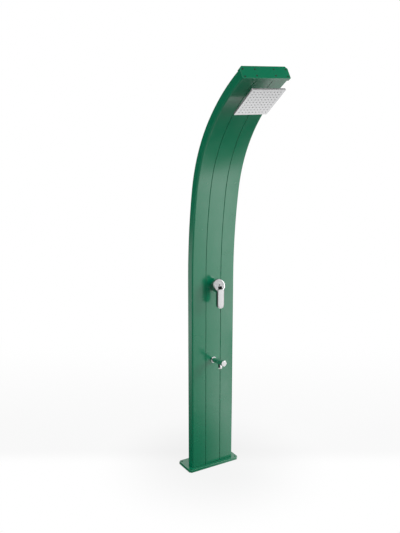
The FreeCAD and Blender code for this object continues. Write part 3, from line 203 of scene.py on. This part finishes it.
class Finish:
    """A Principled material with helpers for procedural colour, roughness and bump, and
    for the shading of the stage."""

    def __init__(self, name, colour, roughness, metallic=0.0, **sockets):
        self.material = bpy.data.materials.new(name)
        self.material.use_nodes = True
        self.nodes = self.material.node_tree.nodes
        self.links = self.material.node_tree.links
        self.shader = self.nodes["Principled BSDF"]
        self.place = self.nodes.new("ShaderNodeTexCoord").outputs["Object"]
        self.colour = colour
        self.shader.inputs["Base Color"].default_value = colour
        self.shader.inputs["Roughness"].default_value = roughness
        self.shader.inputs["Metallic"].default_value = metallic
        for word, value in sockets.items():
            self.shader.inputs[word.replace("_", " ")].default_value = value

    def noise(self, scale, detail=2.0, stretch=(1, 1, 1)):
        """Noise of so many waves a metre, stretched along the object's axes."""
        mapping = self.nodes.new("ShaderNodeMapping")
        mapping.inputs["Scale"].default_value = stretch
        self.links.new(self.place, mapping.inputs["Vector"])
        noise = self.nodes.new("ShaderNodeTexNoise")
        noise.inputs["Scale"].default_value = scale
        noise.inputs["Detail"].default_value = detail
        self.links.new(mapping.outputs["Vector"], noise.inputs["Vector"])
        return noise.outputs["Fac"]

    def vary_colour(self, value, low, high):
        """The base colour from low to high times itself, after a value of 0 to 1."""
        ramp = self.nodes.new("ShaderNodeMix")
        ramp.data_type = "RGBA"
        ramp.inputs["A"].default_value = [c * low for c in self.colour[:3]] + [1]
        ramp.inputs["B"].default_value = [c * high for c in self.colour[:3]] + [1]
        self.links.new(value, ramp.inputs["Factor"])
        self.links.new(ramp.outputs["Result"], self.shader.inputs["Base Color"])

    def vary_roughness(self, value, low, high):
        """Roughness from low to high after a value of 0.3 to 0.7, where noise mostly is."""
        spread = self.nodes.new("ShaderNodeMapRange")
        spread.inputs["From Min"].default_value = 0.3
        spread.inputs["From Max"].default_value = 0.7
        spread.inputs["To Min"].default_value = low
        spread.inputs["To Max"].default_value = high
        self.links.new(value, spread.inputs["Value"])
        self.links.new(spread.outputs["Result"], self.shader.inputs["Roughness"])

    def bump(self, value, height, strength):
        """A relief so many metres high."""
        bump = self.nodes.new("ShaderNodeBump")
        bump.inputs["Strength"].default_value = strength
        bump.inputs["Distance"].default_value = height
        self.links.new(value, bump.inputs["Height"])
        self.links.new(bump.outputs["Normal"], self.shader.inputs["Normal"])

    def vector(self, operation, value, constant=None):
        """A vector node that puts a value together with a constant."""
        node = self.nodes.new("ShaderNodeVectorMath")
        node.operation = operation
        self.links.new(value, node.inputs[0])
        if constant is not None:
            node.inputs[1].default_value = constant
        return node.outputs

    def times(self, first, second):
        """The product of two values."""
        node = self.nodes.new("ShaderNodeMath")
        node.operation = "MULTIPLY"
        self.links.new(first, node.inputs[0])
        self.links.new(second, node.inputs[1])
        return node.outputs["Value"]

    def scaled(self, value, factor, offset):
        """factor * value + offset."""
        node = self.nodes.new("ShaderNodeMath")
        node.operation = "MULTIPLY_ADD"
        node.inputs[1].default_value = factor
        node.inputs[2].default_value = offset
        self.links.new(value, node.inputs[0])
        return node.outputs["Value"]

    def less(self, value, share=1.0):
        """1 less a share of a value."""
        return self.scaled(value, -share, 1.0)

    def step(self, value, low, high):
        """0 where a value is low, 1 where it is high, smooth between."""
        node = self.nodes.new("ShaderNodeMapRange")
        node.interpolation_type = "SMOOTHSTEP"
        node.inputs["From Min"].default_value = low
        node.inputs["From Max"].default_value = high
        self.links.new(value, node.inputs["Value"])
        return node.outputs["Result"]

    def away(self, centre, near, far):
        """0 within near of a centre, 1 beyond far, smooth between, in metres."""
        shift = self.vector("SUBTRACT", self.place, centre)["Vector"]
        return self.step(self.vector("LENGTH", shift)["Value"], near, far)

    def along(self, direction, low, high):
        """0 where direction . place is low, 1 where it is high, smooth between."""
        return self.step(self.vector("DOT_PRODUCT", self.place, direction)["Value"],
                         low, high)

    def show(self, shader):
        """A shader in place of the Principled one."""
        self.links.new(shader, self.nodes["Material Output"].inputs["Surface"])

    def show_mix(self, share, first, second):
        """Two shaders mixed: the first at a share of 0, the second at 1."""
        mix = self.nodes.new("ShaderNodeMixShader")
        self.links.new(share, mix.inputs["Fac"])
        self.links.new(first, mix.inputs[1])
        self.links.new(second, mix.inputs[2])
        self.show(mix.outputs["Shader"])


def green_paint(name, colour):
    """Glossy powder coat: a faint orange peel, and gloss that varies a little."""
    paint = Finish(name, colour, 0.24, Coat_Weight=0.5, Coat_Roughness=0.12)
    paint.shader.inputs["Specular IOR Level"].default_value = 0.6
    paint.vary_colour(paint.noise(3.0, 3.0), 0.96, 1.04)
    paint.vary_roughness(paint.noise(14.0, 4.0), 0.21, 0.28)
    paint.bump(paint.noise(420.0, 1.0), height=0.00003, strength=0.25)
    return paint.material


def chrome_plate(name, value, low, high):
    """Chrome plate, nearly a mirror, with a faint haze."""
    colour = (value, value * 1.008, value * 1.016, 1)
    chrome = Finish(name, colour, (low + high) / 2, 1.0)
    chrome.vary_roughness(chrome.noise(60.0, 4.0), low, high)
    return chrome.material


def brushed_steel(name, value, low, high, metallic=1.0):
    """Brushed stainless steel: fine lines along X in its gloss and relief."""
    steel = Finish(name, (value, value, value * 1.01, 1), (low + high) / 2, metallic)
    lines = steel.noise(900.0, 2.0, (0.02, 1, 1))
    steel.vary_roughness(lines, low, high)
    steel.bump(lines, height=0.00002, strength=0.3)
    return steel.material


def moulded(name, colour, roughness, grain=700.0, height=0.00004):
    """Rubber or plastic with a fine moulded grain."""
    plastic = Finish(name, colour, roughness)
    grains = plastic.noise(grain, 2.0)
    plastic.vary_colour(plastic.noise(40.0), 0.9, 1.1)
    plastic.vary_roughness(grains, roughness - 0.06, roughness + 0.06)
    plastic.bump(grains, height, strength=0.4)
    return plastic.material


def drawn_metal(name, colour, roughness):
    """Turned or drawn brass, copper or aluminium with a dull, uneven surface."""
    metal = Finish(name, colour, roughness, 1.0)
    metal.vary_colour(metal.noise(30.0, 4.0), 0.85, 1.1)
    metal.vary_roughness(metal.noise(300.0, 2.0), roughness - 0.08, roughness + 0.08)
    return metal.material


def paint(piece, material):
    """One material on the whole of a piece."""
    for place in piece.material_slots:
        place.material = material


GREEN = linear(0, 118, 82)
FINISHES = dict(
    green_aluminium=green_paint("green_paint", GREEN),
    green_steel=green_paint("green_paint_plate", GREEN),
    black_rubber=moulded("black_rubber", (0.012, 0.012, 0.012, 1), roughness=0.7),
    dark_steel=moulded("dark_screw_steel", (0.005, 0.005, 0.006, 1), roughness=0.62,
                       grain=2500.0, height=0.00001),
    stainless=brushed_steel("stainless", 0.55, low=0.25, high=0.38),
    bare_aluminium=drawn_metal("bare_aluminium", (0.75, 0.75, 0.76, 1), roughness=0.4),
    brass=drawn_metal("cast_brass", (0.72, 0.5, 0.22, 1), roughness=0.38),
    pipe_copper=drawn_metal("copper_pipe", (0.75, 0.36, 0.22, 1), roughness=0.34),
    white_plastic=moulded("white_plastic", (0.78, 0.78, 0.77, 1), roughness=0.5),
    chrome=chrome_plate("chrome", 0.82, low=0.04, high=0.09),
    dark_plastic=moulded("dark_plastic", (0.012, 0.012, 0.013, 1), roughness=0.5),
    head_steel=brushed_steel("head_steel", 0.84, low=0.22, high=0.3, metallic=0.8),
    jet_silicone=moulded("jet_silicone", (0.1, 0.1, 0.105, 1), roughness=0.6),
)
SLOT_OF = {part["node"]: part["material_slot"] for part in frame["record"]["subparts"]}
for node, piece in frame["nodes"].items():
    paint(piece, FINISHES[SLOT_OF[node]])

# The mixer's chrome is duller than the tap's, a rougher satin plate, and darker: that
# darkness is painted shade, standing for the dark surroundings its chrome reflects.
SATIN_SHADED_CHROME = chrome_plate("chrome_satin_shaded", 0.45, low=0.1, high=0.15)
for node in ("mixer_sleeve", "mixer_dome", "mixer_handle"):
    paint(frame["nodes"][node], SATIN_SHADED_CHROME)


# ------------------------------------------------------------------------- the column
def side_section(sign):
    """Outline of a side profile: rounded outer corners, small edges at the joint, and
    the two ledges that carry the panels."""
    edge = POST_WIDTH / 2
    back = POST_DEPTH
    ledge_under = LEDGE_FACE + LEDGE_THICK
    outline = rounded([
        (JOINT_EDGE, 0, SMALL_EDGE), (edge, 0, POST_CORNER),
        (edge, back, POST_CORNER), (JOINT_EDGE, back, SMALL_EDGE),
        (JOINT_EDGE, back - LEDGE_FACE, 0), (LEDGE_TIP, back - LEDGE_FACE, 0),
        (LEDGE_TIP, back - ledge_under, 0), (JOINT_EDGE, back - ledge_under, 0),
        (JOINT_EDGE, ledge_under, 0), (LEDGE_TIP, ledge_under, 0),
        (LEDGE_TIP, LEDGE_FACE, 0), (JOINT_EDGE, LEDGE_FACE, 0)])
    outline[:, 0] *= sign
    return outline if sign > 0 else outline[::-1]


def panel_section(near, far, near_edge, far_edge):
    """Outline of a centre panel between two depths: a flat skin with eased edges."""
    return rounded([(-PANEL_EDGE, near, near_edge), (PANEL_EDGE, near, near_edge),
                    (PANEL_EDGE, far, far_edge), (-PANEL_EDGE, far, far_edge)])


for word, sign in (("left", -1), ("right", 1)):
    along_post("column_side_" + word, side_section(sign), ["side_profile_" + word])
along_post("column_front", panel_section(0, PANEL_THICK, SMALL_EDGE, 0), ["front_panel"])
along_post("column_rear",
           panel_section(POST_DEPTH - PANEL_THICK, POST_DEPTH, 0, SMALL_EDGE),
           ["rear_panel"])


# ----------------------------------------------------------------- the mixer's handle
def window_shade_liner(wide=25.4, high=16.4, corner=6.2, deep=14.5, skin=0.9):
    """A cup of dark plastic in the handle's window, whose black is also painted shade for
    the shadow deep in the window. Rings of one rounded rectangle, each a share of the
    outline about its centre, stand at their own depth along the handle's axis: up the
    inner wall, over the lip and down the outer wall, closed at both floors."""
    axis = np.array((0.0, -math.cos(HANDLE_SLOPE), math.sin(HANDLE_SLOPE)))
    up = np.array((0.0, math.sin(HANDLE_SLOPE), math.cos(HANDLE_SLOPE)))
    middle = PIVOT + GRIP_FRONT * axis - WINDOW_DROP * up
    outer = rounded([(-wide / 2, -high / 2, corner), (wide / 2, -high / 2, corner),
                     (wide / 2, high / 2, corner), (-wide / 2, high / 2, corner)], 8)
    inner = outer * (1 - 2 * skin / np.array((wide, high)))
    crest = inner + (outer - inner) * 0.4
    rings = [(inner, skin - deep), (inner, -0.9), (crest, -0.5), (outer, -0.8),
             (outer, -deep)]
    points = np.concatenate([middle + ring[:, :1] * (1, 0, 0) + ring[:, 1:] * up + h * axis
                             for ring, h in rings])
    count = len(outer)
    last = (len(rings) - 1) * count
    faces = [face[::-1] for face in grid_faces(len(rings), count)]
    faces.append(list(range(count)))
    faces.append(list(range(last, last + count))[::-1])
    mesh_piece("window_shade_liner", points, faces, "mixer_lever",
               FINISHES["dark_plastic"], sharp=50)


def lever_blade(skin=0.2, top=4.0, top_corner=11.0, front_round=6.0, back_round=2.5,
                steps=7, hold=0.4, apart=0.5):
    """The lever as one bar that runs up to the window, a skin over the CAD lever. Rings of
    its outline (round below, rounded above) are moved inward by R (1 - cos a) and back by
    R (1 - sin a) for a from 0 to 90 degrees, at the back edge and at the front edge, and
    one ring more holds the flat front. Both flats are fans about their centre."""
    side = LEVER_WIDTH / 2 + skin
    low = -LEVER_DROP - skin
    outline = rounded([(-side, low, side), (side, low, side), (side, top, top_corner),
                       (-side, top, top_corner)], 14)
    ahead = np.linalg.norm(np.roll(outline, -1, axis=0) - outline, axis=1)
    outline = outline[ahead > apart]
    back = -(LEVER_FRONT - LEVER_THICK - skin)
    front = -(LEVER_FRONT + skin)
    angle = np.linspace(0, math.pi / 2, steps)
    rings = [(inward(outline, back_round * (1 - math.cos(a))),
              back - back_round * (1 - math.sin(a))) for a in angle[::-1]]
    rings += [(inward(outline, front_round * (1 - math.cos(a))),
               front + front_round * (1 - math.sin(a))) for a in angle]
    rings.append((inward(outline, front_round + hold), front))
    points = [np.stack([ring[:, 0], np.full(len(ring), y), ring[:, 1]], 1)
              for ring, y in rings]
    points += [points[0].mean(0, keepdims=True), points[-1].mean(0, keepdims=True)]
    points = np.concatenate(points) + PIVOT
    count = len(outline)
    last = (len(rings) - 1) * count
    back_centre = last + count
    front_centre = back_centre + 1
    faces = grid_faces(len(rings), count)
    faces += [[(k + 1) % count, k, back_centre] for k in range(count)]
    faces += [[last + k, last + (k + 1) % count, front_centre] for k in range(count)]
    # The lever wears the mixer's chrome, whose darker value is painted shade.
    mesh_piece("lever_blade", points, faces, "mixer_lever", SATIN_SHADED_CHROME)


window_shade_liner()
lever_blade()

# ------------------------------------------------------------------ stage and camera
CAMERA_PLACE = (-2.1454, -3.4774, 2.2401)
CAMERA_DOWN = 13.815        # degrees below level
CAMERA_RIGHT = 30.935       # degrees from +Y toward +X
CAMERA_LENS = 49.29         # millimetres, on a frame 36 mm high

# The camera's view along the floor, and the way square to its mirror in the flat front.
VIEW = (0.514, 0.858, 0.0)
MIRRORED = (0.848, 0.53, 0.0)
ORIGIN = (0, 0, 0)
TO_BACK = (0, 1, 0)

BOARD_Y = 2.6               # the back board's plane; the floor card ends before it
TOP_Z = 4.2                 # the top board's plane


def seen_by_eye(nodes, links):
    """1 for camera, glossy and transmission rays, 0 for the rays that carry light."""
    path = nodes.new("ShaderNodeLightPath")
    seen = path.outputs["Is Camera Ray"]
    for word in ("Is Glossy Ray", "Is Transmission Ray"):
        either = nodes.new("ShaderNodeMath")
        either.operation = "MAXIMUM"
        links.new(seen, either.inputs[0])
        links.new(path.outputs[word], either.inputs[1])
        seen = either.outputs["Value"]
    return seen


def stage_plane(name, corners, finish, only_gloss=True):
    """A four-cornered stage piece, in metres. It can be one that only the gloss shows."""
    mesh = bpy.data.meshes.new(name)
    mesh.from_pydata(corners, [], [(0, 1, 2, 3)])
    mesh.materials.append(finish.material)
    plane = bpy.data.objects.new(name, mesh)
    bpy.context.scene.collection.objects.link(plane)
    if only_gloss:
        plane.visible_camera = False
        plane.visible_diffuse = False
        plane.visible_shadow = False
        plane.visible_transmission = False


def level_corners(left, right, front, back, z):
    """The corners of a level rectangle that faces up."""
    return [(left, front, z), (right, front, z), (right, back, z), (left, back, z)]


def stage_floor(size=60.0):
    """A pale floor that takes the post's shadow, turns into plain white further out and
    has a faint band of painted shade behind the post."""
    finish = Finish("floor_white", (0.36, 0.36, 0.36, 1), 0.6)
    finish.vary_roughness(finish.noise(2.0), 0.55, 0.65)
    white = finish.nodes.new("ShaderNodeEmission").outputs["Emission"]
    far = finish.away((0, -0.05, 0), 0.12, 0.75)
    share = finish.scaled(far, 0.13, 0.87)
    # Painted shade: a faint grey band on the floor behind the post.
    shade_band = finish.times(finish.along(VIEW, -0.05, 0.15), finish.along(VIEW, 2.2, 0.3))
    share = finish.times(share, finish.less(shade_band, 0.08))
    seen = seen_by_eye(finish.nodes, finish.links)
    finish.show_mix(finish.times(share, seen), finish.shader.outputs["BSDF"], white)
    stage_plane("floor", level_corners(-size, size, -size, size, 0), finish,
                only_gloss=False)


def floor_tone(finish):
    """How bright the floor looks in the gloss: 1 is white. It is brighter right of the
    camera's mirrored view, and darker round the foot, on the near side, below the curved
    top, behind and to the left. All windows are in metres along the floor."""
    right = finish.times(finish.along(MIRRORED, -0.12, 0.14),
                         finish.along(MIRRORED, 0.65, 0.35))
    foot = finish.times(finish.away((-0.25, -0.35, 0), 0.95, 0.3),
                        finish.less(finish.along(MIRRORED, -0.1, 0.1)))
    side = finish.times(finish.along(MIRRORED, -0.04, -0.15),
                        finish.away(ORIGIN, 5.5, 0.8))
    under = finish.times(finish.along((-3, 1, 0), -7.5, -5.5),
                         finish.along(TO_BACK, 0.05, -0.3))
    under = finish.times(under, finish.along(MIRRORED, 0.08, 0.25))
    under = finish.times(under, finish.away(ORIGIN, 3.4, 2.2))
    behind = finish.times(finish.along((-0.6, 1, 0), -0.1, 0.2),
                          finish.less(finish.along(TO_BACK, 0.0, 2.6), 0.4))
    left = finish.times(finish.along((-1, 0, 0), 1.3, 2.1),
                        finish.along(TO_BACK, 1.6, 0.8))
    bright = finish.times(right, finish.away(ORIGIN, 7.0, 4.5))
    bright = finish.times(bright, finish.less(under))
    bright = finish.times(bright, finish.away(ORIGIN, 0.05, 1.2))
    tone = finish.scaled(bright, 1.75, 1.0)
    for shade, share in ((foot, 0.75), (side, 0.55), (under, 0.97), (behind, 0.92),
                         (left, 0.93)):
        tone = finish.times(tone, finish.less(shade, share))
    return tone


def floor_card():
    """A card just over the floor that only the gloss of the post shows."""
    finish = Finish("floor_card", (1, 1, 1, 1), 1.0)
    glow = finish.nodes.new("ShaderNodeEmission")
    finish.links.new(floor_tone(finish), glow.inputs["Strength"])
    finish.show(glow.outputs["Emission"])
    stage_plane("floor_card", level_corners(-7, 7, -7, BOARD_Y - 0.02, 0.004), finish)


def dark_board(name, corners, opacity):
    """A black board that only reflections show, see-through where its opacity fades."""
    finish = Finish(name, (0.004, 0.005, 0.005, 1), 1.0)
    clear = finish.nodes.new("ShaderNodeBsdfTransparent")
    finish.show_mix(opacity(finish), clear.outputs["BSDF"], finish.shader.outputs["BSDF"])
    stage_plane(name, corners, finish)


def from_waist_up(finish):
    """Half dark low down, fully dark from waist height up."""
    return finish.scaled(finish.along((0, 0, 1), 0.6, 1.0), 0.5, 0.5)


def area_light(name, place, target, power, size=2.4, shows=True):
    """A soft square light at a place, aimed at a target. It can be one that only lights
    and doesn't show in the gloss."""
    lamp = bpy.data.lights.new(name, "AREA")
    lamp.shape = "RECTANGLE"
    lamp.size = lamp.size_y = size
    lamp.energy = power
    light = bpy.data.objects.new(name, lamp)
    light.location = place
    way = Vector(target) - Vector(place)
    light.rotation_euler = way.to_track_quat("-Z", "Y").to_euler()
    light.visible_camera = False
    light.visible_glossy = shows
    bpy.context.scene.collection.objects.link(light)


def studio_world(strength):
    """White for the camera and for reflections, softer where it lights the post."""
    world = bpy.data.worlds.new("studio")
    bpy.context.scene.world = world
    world.use_nodes = True
    nodes = world.node_tree.nodes
    links = world.node_tree.links
    level = nodes.new("ShaderNodeMapRange")
    level.inputs["To Min"].default_value = strength
    level.inputs["To Max"].default_value = 1.0
    links.new(seen_by_eye(nodes, links), level.inputs["Value"])
    links.new(level.outputs["Result"], nodes["Background"].inputs["Strength"])
    nodes["Background"].inputs["Color"].default_value = (1, 1, 1, 1)


stage_floor()
floor_card()
dark_board("back_board",
           [(-7, BOARD_Y, 0), (-0.7, BOARD_Y, 0), (-0.7, BOARD_Y, 4), (-7, BOARD_Y, 4)],
           from_waist_up)
dark_board("top_board", level_corners(-2, 4, -3, 1.5, TOP_Z),
           lambda finish: finish.away((1.0, -0.8, TOP_Z), 2.2, 1.2))
dark_board("left_board",
           [(-6.5, -3, 0.4), (-1.2, -6.6, 0.4), (-1.2, -6.6, 6), (-6.5, -3, 6)],
           lambda finish: finish.away((-3.9, -4.8, 3.2), 3.4, 2.2))
studio_world(0.66)
area_light("key_front_right", (4.1, -2.7, 3.0), (0, -0.1, 1.0), power=165)
area_light("fill_left", (-4.2, -2.0, 2.6), (0, 0, 1.1), power=46, shows=False)

camera = bpy.data.cameras.new("camera")
camera.sensor_fit = "VERTICAL"
camera.sensor_height = 36.0
camera.lens = CAMERA_LENS
eye = bpy.data.objects.new("camera", camera)
eye.location = CAMERA_PLACE
eye.rotation_euler = (math.radians(90 - CAMERA_DOWN), 0, math.radians(-CAMERA_RIGHT))
bpy.context.scene.collection.objects.link(eye)
bpy.context.scene.camera = eye
bpy.context.scene.view_settings.view_transform = "Standard"
